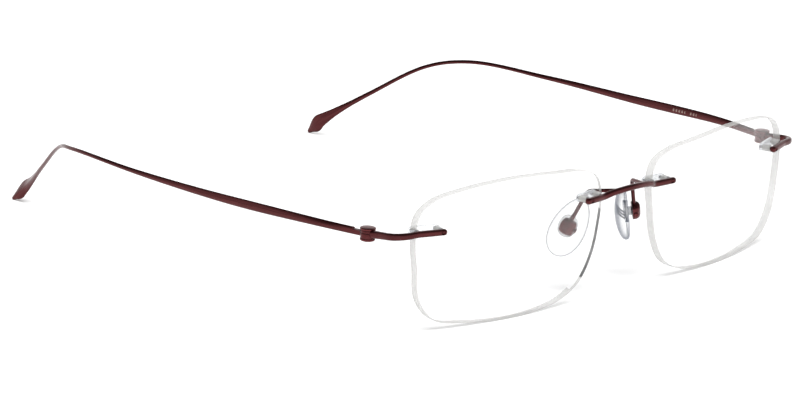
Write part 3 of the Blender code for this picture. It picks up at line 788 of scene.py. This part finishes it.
def make_sleeve(side, label, mount):
    """Clear double sleeve: an oval plate behind the lens with a barrel round each post."""
    hole, edge, along, inward = mount_axes(mount)
    back = LENS_THICKNESS + SLEEVE_STANDOFF
    rings = []
    thick = SLEEVE_PLATE_THICKNESS
    for depth, inset in ((0, 0.14), (0.05, 0.05), (0.15, 0),
                         (thick - 0.15, 0), (thick - 0.05, 0.05), (thick, 0.14)):
        ring = []
        for centre, start in ((edge, -90), (hole, 90)):
            for step in range(17):
                angle = math.radians(start + 180 * step / 16)
                reach = SLEEVE_PLATE_RADIUS - inset
                ring.append(centre + (along * math.cos(angle) + UP * math.sin(angle)) * reach
                            + inward * (back + depth))
        rings.append(ring)
    sleeve = to_object("sleeve", ring_mesh(rings))
    barrels = [cylinder(spot + inward * BARREL_INSET, spot + inward * (back + 0.3), barrel_radius())
               for spot in (hole, edge)]
    bores = [cylinder(spot - inward * CUT_PAST, spot + inward * CUT_PAST, POST_RADIUS + GLUE_GAP)
             for spot in (hole, edge)]
    combined(sleeve, barrels, "UNION")
    combined(sleeve, bores, "DIFFERENCE")
    name = side_name("sleeve_" + label, side)
    put(sleeve, name + "_fine", side, "front", [name], (SLEEVE,))


# ---------------------------------------------------------------- bridge and endpieces

def bar_centre(mount, u):
    """Centre of the bar in front of the lens, at a place across it."""
    _, _, _, inward = mount_axes(mount)
    return lens_point(u, mount["height"], 0) - inward * (BAR_RADIUS + SEAT_GAP)


def mirrored(point):
    return Vector((-point.x, point.y, point.z))


def posts(mount, flip=False):
    """The two round posts of one mount, with rounded ends."""
    hole, edge, _, inward = mount_axes(mount)
    shapes = []
    for spot in (hole, edge):
        length = BAR_RADIUS + LENS_THICKNESS + POST_PAST_LENS
        start = spot - inward * BAR_RADIUS
        axis = inward
        if flip:
            start, axis = mirrored(start), mirrored(axis)
        shapes.append(turned([(0, 0), (POST_RADIUS, 0.02), (POST_RADIUS, length - 0.1),
                              (POST_RADIUS * 0.8, length - 0.02), (0, length)], start, axis, 32))
    return shapes


def pit_centre(mount, flip=False):
    """Where the riveted end of the hole post shows on the front of a bar."""
    hole, _, _, inward = mount_axes(mount)
    front = hole - inward * (2 * BAR_RADIUS + SEAT_GAP)
    return mirrored(front) if flip else front


def dimple(mount, flip=False):
    """Round pit on the front of a bar, where the hole post is riveted."""
    inward = mount_axes(mount)[3]
    axis = mirrored(inward) if flip else inward
    profile = [(0, PIT_DEPTH), (PIT_RADIUS * 0.5, PIT_DEPTH * 0.9), (PIT_RADIUS * 0.85, PIT_DEPTH * 0.5),
               (PIT_RADIUS, 0.0), (PIT_RADIUS * 1.1, -0.6), (0, -0.6)]
    return turned(profile, pit_centre(mount, flip), axis, 32)


def make_bridge():
    mount = NASAL_MOUNT
    half = [bar_centre(mount, u) for u in mount["stations"]] + [Vector(BRIDGE_STEP)]
    route = smooth_curve([mirrored(p) for p in half] + [Vector(BRIDGE_CROWN)] + half[::-1], 121)
    sizes = []
    for point in route:
        share = min(1.0, abs(point.x) / (LENS_GAP / 2))
        sizes.append([BRIDGE_MIDDLE_RADIUS + (BAR_RADIUS - BRIDGE_MIDDLE_RADIUS) * share ** 3] * 3)
    ends, end_sizes = rounded_ends(route, sizes)
    bridge = to_object("bridge", sweep(ends, end_sizes, UP, 40, BAR_SQUARENESS))
    combined(bridge, posts(mount) + posts(mount, flip=True), "UNION")
    combined(bridge, [dimple(mount), dimple(mount, flip=True)], "DIFFERENCE")
    grain_along(bridge, route, [pit_centre(mount), pit_centre(mount, flip=True)])
    put(bridge, "bridge_bar_fine", 1, "front", ["bridge_bar"], (LACQUER,))


def knuckle(low, high):
    """Round end of a hinge half between two heights over the hinge centre."""
    rim = KNUCKLE_RIM
    profile = [(KNUCKLE_RADIUS - rim, low), (KNUCKLE_RADIUS - rim * 0.3, low + rim * 0.3),
               (KNUCKLE_RADIUS, low + rim), (KNUCKLE_RADIUS, high - rim),
               (KNUCKLE_RADIUS - rim * 0.3, high - rim * 0.3), (KNUCKLE_RADIUS - rim, high)]
    return turned(profile, HINGE, UP, 72)


def pin_bore():
    """Cutter for the hole of the hinge pin."""
    return cylinder(HINGE - UP * CUT_PAST, HINGE + UP * CUT_PAST, PIN_RADIUS + RUNNING_GAP)


def make_endpiece(side):
    """Bar on the lens, bent back round the corner to the upper knuckle of the hinge."""
    mount = TEMPORAL_MOUNT
    on_lens = [bar_centre(mount, u) for u in mount["stations"]]
    arm_end = HINGE + (ENDPIECE_CORNER - HINGE).normalized() * (KNUCKLE_RADIUS * 0.6)
    corner = filleted([on_lens[-1], ENDPIECE_CORNER, arm_end], ENDPIECE_CORNER_RADIUS, 24)
    route = even_points(on_lens + corner[1:], 96)
    route = [(a + b + c) / 3 for a, b, c in zip([route[0]] + route, route, route[1:] + [route[-1]])]
    lengths = lengths_along(route)
    bend_starts = (on_lens[0] - on_lens[-1]).length / lengths[-1]
    sizes = []
    for distance in lengths:
        share = max(0.0, (distance / lengths[-1] - bend_starts) / (1 - bend_starts))
        flare = ARM_FLARE * max(0.0, (share - ARM_FLARE_START) / (1 - ARM_FLARE_START)) ** 2
        size = [BAR_RADIUS + (size - BAR_RADIUS) * share for size in ENDPIECE_ARM]
        sizes.append([size[0], size[1], size[2] + flare])
    ends, end_sizes = rounded_ends(route, sizes, both=False)
    piece = to_object("endpiece", sweep(ends, end_sizes, UP, 40, BAR_SQUARENESS))
    foot = HINGE_SPLIT + SEAT_GAP / 2
    combined(piece, [knuckle(foot, KNUCKLE_HALF_HEIGHT)], "UNION")
    room = cylinder(HINGE - UP * CUT_PAST, HINGE + UP * foot, KNUCKLE_RADIUS + KNUCKLE_CLEARANCE, 72)
    seat = cylinder(HINGE + UP * KNUCKLE_HALF_HEIGHT, HINGE + UP * CUT_PAST,
                    PIN_HEAD_RADIUS + SEAT_GAP * 2, 72)
    combined(piece, [room, seat, pin_bore(), dimple(mount)], "DIFFERENCE")
    softened(piece)
    combined(piece, posts(mount), "UNION")
    # Middle of the painted dark reflection on the endpiece bend.
    bend = point_at(route, lengths, lengths[-1] * BEND_REFLECTION_PLACE)
    grain_along(piece, route, [pit_centre(mount)], bend)
    name = side_name("endpiece", side)
    put(piece, name + "_fine", side, "front", [name], (LACQUER,))


# ---------------------------------------------------------------- hinges and temples

def make_hinge_pin(side):
    """Screw with a domed head on the upper knuckle, and the round nut under the lower one."""
    seat = KNUCKLE_HALF_HEIGHT + SEAT_GAP
    rim = seat + PIN_HEAD_RIM
    head = PIN_HEAD_RADIUS
    dome = [(head * math.cos(math.radians(a)), rim + PIN_HEAD_DOME * math.sin(math.radians(a)))
            for a in range(6, 90, 7)]
    screw = turned([(0, -seat - NUT_HEIGHT + 0.04), (PIN_RADIUS * 0.8, -seat - NUT_HEIGHT + 0.04),
                    (PIN_RADIUS, -seat - NUT_HEIGHT + 0.14), (PIN_RADIUS, seat), (head - 0.08, seat),
                    (head - 0.02, seat + 0.03), (head, seat + 0.09), (head, rim - 0.03)]
                   + dome + [(0, rim + PIN_HEAD_DOME)], HINGE, UP, 72)
    screw = to_object("screw", screw)
    grain_round(screw, HINGE, UP)
    name = side_name("hinge_screw", side)
    put(screw, name + "_fine", side, "front", [name], (HARDWARE,))
    bore = PIN_RADIUS + RUNNING_GAP
    low = -seat - NUT_HEIGHT
    nut = turned([(bore, -seat), (NUT_RADIUS - 0.06, -seat), (NUT_RADIUS, -seat - 0.06),
                  (NUT_RADIUS, low + 0.18), (NUT_RADIUS - 0.05, low + 0.07), (NUT_RADIUS - 0.18, low),
                  (bore + 0.06, low), (bore, low + 0.06), (bore, -seat)], HINGE, UP, 72, capped=False)
    bmesh.ops.remove_doubles(nut, verts=nut.verts, dist=1e-5)
    nut = to_object("nut", nut)
    grain_round(nut, HINGE, UP)
    name = side_name("hinge_nut", side)
    put(nut, name + "_fine", side, "front", [name], (HARDWARE,))


def make_temple(side):
    """Slim bar with the lower knuckle at the front and a leaf-shaped end behind the ear."""
    dense = smooth_curve(TEMPLE_ROUTE, 400)
    stretch = TEMPLE_LENGTH / lengths_along(dense)[-1]
    dense = [dense[0] + (p - dense[0]) * stretch for p in dense]
    lengths = lengths_along(dense)
    length = lengths[-1]
    start = KNUCKLE_RADIUS * 0.6
    leaf_start = LEAF_START * length
    distances = [start + (leaf_start - start) * k / BAR_STEPS for k in range(BAR_STEPS + 1)]
    distances += [leaf_start + (length - leaf_start) * k / LEAF_STEPS for k in range(1, LEAF_STEPS + 1)]
    route = [point_at(dense, lengths, d) for d in distances]
    sizes = [between(TEMPLE_SECTIONS, d / length) for d in distances]
    powers = []
    for d in distances:
        front = max(0.0, 1 - max(0.0, d - SHOULDER) / 5)
        leaf = max(0.0, min(1.0, (d / length - LEAF_START) / LEAF_TURN))
        powers.append((TEMPLE_RIDGE + (BAR_SQUARENESS - TEMPLE_RIDGE) * front,
                       BAR_SQUARENESS + (LEAF_RIDGE - BAR_SQUARENESS) * leaf))
    tip, tip_size = route[-1], sizes[-1]
    outward = (route[-1] - route[-3]).normalized()
    for step in range(1, 6):
        angle = math.radians(82) * step / 5
        route.append(tip + outward * 0.3 * math.sin(angle))
        sizes.append([part * (0.35 + 0.65 * math.cos(angle)) for part in tip_size])
        powers.append(powers[-1])
    piece = to_object("temple", sweep(route, sizes, UP, 40, powers))
    foot = HINGE_SPLIT - SEAT_GAP / 2
    notch = turned([(SHOULDER, NOTCH_FOOT), (SHOULDER, 0.6), (SHOULDER + 0.5, 1.1),
                    (SHOULDER + 0.5, CUT_PAST)], HINGE, UP, 96)
    room = cylinder(HINGE + UP * foot, HINGE + UP * CUT_PAST, KNUCKLE_RADIUS + KNUCKLE_CLEARANCE, 72)
    combined(piece, [notch, room], "DIFFERENCE")
    combined(piece, [knuckle(-KNUCKLE_HALF_HEIGHT, foot)], "UNION")
    combined(piece, [pin_bore()], "DIFFERENCE")
    softened(piece)
    grain_along(piece, even_points(dense, 300))
    name = side_name("temple", side)
    look = LACQUER_MARKED if side > 0 else LACQUER
    put(piece, name + "_fine", side, name, [name], (look,))


# ---------------------------------------------------------------- nose pads

def pad_axes():
    """Unit vectors of the left pad: up along it, across it, and out of it away from the nose."""
    along = -PAD_DOWN.normalized()
    nose = Vector((-math.cos(PAD_SPLAY), math.sin(PAD_SPLAY), 0))
    nose = (nose - along * nose.dot(along)).normalized()
    return along, along.cross(nose).normalized(), -nose


def pad_outline(scale, lift, points=96):
    """Egg-shaped ring, narrower at the top, at a height out of the pad."""
    along, across, out = pad_axes()
    ring = []
    for k in range(points):
        angle = 2 * math.pi * k / points
        length = PAD_LENGTH / 2 * math.sin(angle)
        width = PAD_WIDTH / 2 * math.cos(angle) * (1 - PAD_TAPER * math.sin(angle))
        ring.append(PAD_CENTRE + (along * length + across * width) * scale + out * lift)
    return ring


def core_centre():
    along, across, _ = pad_axes()
    return PAD_CENTRE + along * BOX_POSITION[0] + across * BOX_POSITION[1]


def box_mouth():
    return core_centre() + pad_axes()[2] * (PAD_BACK + BOX_GAP)


def pad_pivot():
    return box_mouth() + pad_axes()[2] * PAD_SCREW_HEIGHT


def pad_screw_bore():
    """Cutter for the hole of the pad screw, through the box and the boss of the core."""
    across = pad_axes()[1] * CUT_PAST
    return cylinder(pad_pivot() - across, pad_pivot() + across, PAD_SCREW_RADIUS + RUNNING_GAP)


def core_plate(low, high, grow=0.0):
    """Superelliptic plate between two heights over the pad's middle, larger by grow all round."""
    along, across, out = pad_axes()
    sizes = (CORE_LENGTH / 2 + grow, CORE_LENGTH / 2 + grow, CORE_WIDTH / 2 + grow)
    return ring_mesh([section_ring(core_centre() + out * height, along, across, sizes, 56, 2.4)
                      for height in (low, high)])


def make_nose_pad(side):
    """Soft pad, crowned on the nose side, with its moulded core in a pocket of the flat side."""
    along, across, out = pad_axes()
    rings = [[PAD_CENTRE + out * PAD_BACK]]
    rings += [pad_outline(PAD_FLAT * k / 6, PAD_BACK) for k in range(1, 7)]
    for step in range(1, 7):
        angle = math.radians(90) * step / 6
        scale = PAD_FLAT + (1 - PAD_FLAT) * math.sin(angle)
        rings.append(pad_outline(scale, PAD_BACK - PAD_EDGE_ROUND * (1 - math.cos(angle))))
    for step in range(1, 13):
        angle = math.radians(90) * step / 12
        lift = PAD_RIM_LIFT - (PAD_BULGE + PAD_RIM_LIFT) * math.sin(angle)
        rings.append(pad_outline(math.cos(angle), lift) if step < 12 else [PAD_CENTRE - out * PAD_BULGE])
    pad = to_object("pad", ring_mesh(rings))
    floor = PAD_BACK - CORE_DEPTH
    combined(pad, [core_plate(floor - SEAT_GAP, PAD_BACK + 0.5, SEAT_GAP)], "DIFFERENCE")
    name = side_name("nose_pad", side)
    put(pad, name + "_fine", side, name, [name], (SILICONE,), 30)
    core = to_object("core", core_plate(floor, PAD_BACK - 0.02))
    boss_top = PAD_BACK + BOX_GAP + BOX_CAVITY[2] - 0.22
    boss_foot = PAD_BACK - CORE_DEPTH / 2
    boss = block(core_centre() + out * (boss_top + boss_foot) / 2, (along, across, out),
                 (BOSS[0] / 2, BOSS[1] / 2, (boss_top - boss_foot) / 2))
    ribs = []
    for step in (RIB_PITCH, 0.0, -RIB_PITCH):
        bend = [core_centre() + out * lift + along * (height + step) for lift, height in RIB_CURVE]
        bend = smooth_curve(bend, 16)
        ribs.append(sweep(bend, [RIB_SIZES] * len(bend), along, 12))
    combined(core, [boss] + ribs, "UNION")
    combined(core, [pad_screw_bore()], "DIFFERENCE")
    label = side_name("pad_core", side)
    put(core, label + "_fine", side, name, [label], (CORE,))


def make_pad_box(side):
    """Small metal box, open towards the pad, with a ridged roof and the screw through its sides."""
    along, across, out = pad_axes()
    mouth = box_mouth()
    rings = []
    for lift, size, scale in BOX_PROFILE:
        sizes = (size[0] / 2 * scale, size[0] / 2 * scale, size[1] / 2 * scale)
        rings.append(section_ring(mouth + out * lift, along, across, sizes, 48, 3.6))
    rings.append([mouth + out * BOX_PROFILE[-1][0]])
    bm = ring_mesh(rings)
    for vert in bm.verts:
        height = (vert.co - mouth).dot(out)
        sideways = (vert.co - mouth).dot(across)
        rise = max(0.0, min(1.0, (height - BOX_RIDGE_FOOT) / BOX_RIDGE_RISE))
        vert.co += out * BOX_RIDGE * max(0.0, 1 - abs(sideways) / BOX_RIDGE_REACH) * rise
    box = to_object("box", bm)
    cavity = block(mouth + out * (BOX_CAVITY[2] / 2 - 0.5), (along, across, out),
                   (BOX_CAVITY[0] / 2, BOX_CAVITY[1] / 2, BOX_CAVITY[2] / 2 + 0.5))
    combined(box, [cavity, pad_screw_bore()], "DIFFERENCE")
    softened(box)
    grain_along(box, [mouth - along * 3, mouth, mouth + along * 3])
    name = side_name("pad_box", side)
    put(box, name + "_fine", side, "front", [name], (LACQUER,), 25)
    pivot = pad_pivot()
    reach = BOX_MOUTH[1] / 2
    seat = reach + SEAT_GAP
    screw = turned([(0, -reach - 0.1), (PAD_SCREW_RADIUS * 0.8, -reach - 0.1), (PAD_SCREW_RADIUS, -reach),
                    (PAD_SCREW_RADIUS, seat), (PAD_SCREW_HEAD - 0.04, seat), (PAD_SCREW_HEAD, seat + 0.04),
                    (PAD_SCREW_HEAD, reach + 0.17), (PAD_SCREW_HEAD * 0.9, reach + 0.26),
                    (PAD_SCREW_HEAD * 0.6, reach + 0.34), (0, reach + 0.39)], pivot, across, 40)
    screw = to_object("screw", screw)
    slit = block(pivot + across * (reach + 0.42), (along, out, across), (0.9, 0.09, 0.18))
    combined(screw, [slit], "DIFFERENCE")
    grain_round(screw, pivot, across)
    name = side_name("pad_screw", side)
    put(screw, name + "_fine", side, "front", [name], (HARDWARE,))


def make_pad_arm(side):
    """Bent wire from the back of the bridge to the upper side of the box."""
    along, _, out = pad_axes()
    foot = box_mouth() + out * (BOX_HEIGHT * 0.3) + along * (BOX_MOUTH[0] / 2 - 0.1)
    start = ARM_START - (ARM_CORNER - ARM_START).normalized() * 0.35
    route = even_points(filleted([start, ARM_CORNER, foot], ARM_CORNER_RADIUS, 30), 80)
    arm = to_object("arm", sweep(route, [[ARM_RADIUS] * 3] * len(route), UP, 32))
    grain_along(arm, route)
    name = side_name("pad_arm", side)
    put(arm, name + "_fine", side, "front", [name], (LACQUER,))


make_bridge()
for side in (1, -1):
    make_lens(side)
    make_sleeve(side, "temporal", TEMPORAL_MOUNT)
    make_sleeve(side, "nasal", NASAL_MOUNT)
    make_endpiece(side)
    make_hinge_pin(side)
    make_temple(side)
    make_pad_arm(side)
    make_pad_box(side)
    make_nose_pad(side)


# ---------------------------------------------------------------- stage, light and camera

FLOOR_RADII = (0.5, 1.5, 4.0, 12.0)
FLOOR_SIDES = 64


def make_floor():
    """Round pale floor under the glasses, in metres, large enough to fill every view from above."""
    turns = [2 * math.pi * k / FLOOR_SIDES for k in range(FLOOR_SIDES)]
    rings = [[(0, 0, 0)]]
    for radius in FLOOR_RADII:
        rings.append([(radius * math.cos(turn), radius * math.sin(turn), 0) for turn in turns])
    bm = bmesh.new()
    skin(bm, rings)
    floor = to_object("floor", bm)
    n = Nodes("floor_look")
    place = n.add("ShaderNodeTexCoord").outputs["Object"]
    cloud = n.noise(place, 6.0, detail=2.0, rough=0.5)
    n.feed("Base Color", n.mix(cloud, (0.93, 0.93, 0.93), (0.95, 0.95, 0.95)))
    n.set(Roughness=0.9, Specular_IOR_Level=0.1)
    floor.data.materials.append(n.material)


def make_light():
    """White sky that darkens overhead, and one broad soft sun."""
    world = bpy.data.worlds.new("studio")
    bpy.context.scene.world = world
    world.use_nodes = True
    tree = world.node_tree
    coords = tree.nodes.new("ShaderNodeTexCoord")
    parts = tree.nodes.new("ShaderNodeSeparateXYZ")
    ramp = tree.nodes.new("ShaderNodeValToRGB")
    tree.links.new(coords.outputs["Generated"], parts.inputs[0])
    tree.links.new(parts.outputs["Z"], ramp.inputs["Fac"])
    stops = ((0.0, 1.0), (0.42, 1.0), (0.60, 0.10), (1.0, 0.18))
    elements = ramp.color_ramp.elements
    while len(elements) < len(stops):
        elements.new(0.5)
    for element, (place, grey) in zip(elements, stops):
        element.position = place
        element.color = (grey, grey, grey, 1)
    background = tree.nodes["Background"]
    tree.links.new(ramp.outputs["Color"], background.inputs["Color"])
    background.inputs["Strength"].default_value = 1.0
    sun = bpy.data.lights.new("soft_sun", "SUN")
    sun.energy = 3.7
    sun.angle = math.radians(50)
    lamp = bpy.data.objects.new("soft_sun", sun)
    lamp.visible_glossy = False
    lamp.rotation_euler = (math.radians(20), math.radians(-15), 0)
    bpy.context.scene.collection.objects.link(lamp)


def make_camera():
    """Long lens from the wearer's right front, a little above the glasses."""
    place = Vector((-903.386, -749.962, 346.308))
    right = Vector((0.68200, -0.72879, 0.06119))
    up = Vector((0.16705, 0.23670, 0.95711))
    data = bpy.data.cameras.new("camera")
    data.sensor_width = 36
    data.lens = 247.554
    data.shift_x = -0.009037
    data.shift_y = 0.010838
    data.clip_start = 0.01
    data.clip_end = 50
    camera = bpy.data.objects.new("camera", data)
    bpy.context.scene.collection.objects.link(camera)
    facing = Matrix((right, up, right.cross(up))).transposed()
    lean = DATUM.to_3x3() * (1 / MM)
    camera.matrix_world = Matrix.Translation(DATUM @ place) @ (lean @ facing).to_4x4()
    bpy.context.scene.camera = camera


make_floor()
make_light()
make_camera()
bpy.context.scene.view_settings.view_transform = "Standard"

bpy.context.view_layer.update()
